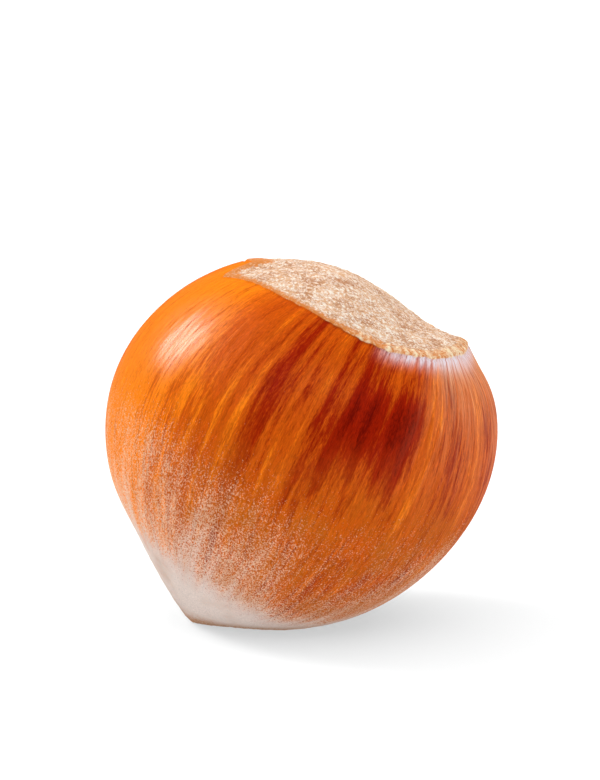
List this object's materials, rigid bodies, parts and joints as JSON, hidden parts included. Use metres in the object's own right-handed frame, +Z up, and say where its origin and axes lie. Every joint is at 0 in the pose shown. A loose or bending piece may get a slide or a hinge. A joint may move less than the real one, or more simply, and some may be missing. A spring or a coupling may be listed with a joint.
{
  "type": "hazelnut",
  "caption": "Whole hazelnut in its shell, lying on its side on a small flat spot, with a blunt tip and a domed scar at the other end.",
  "frame": {"origin": "centre of the bounding box in plan, at the level of the flat spot that the nut rests on", "axes": "+Z up from the resting spot; +X the way the nut leans from its tip to its scar; Y across it, from front to back"},
  "size_m": [0.0214, 0.0198, 0.0198],
  "materials": {
    "nut_shell": "satin"
  },
  "bodies": {
    "root": {"hazelnut": "nut_shell"}
  },
  "joints": []
}
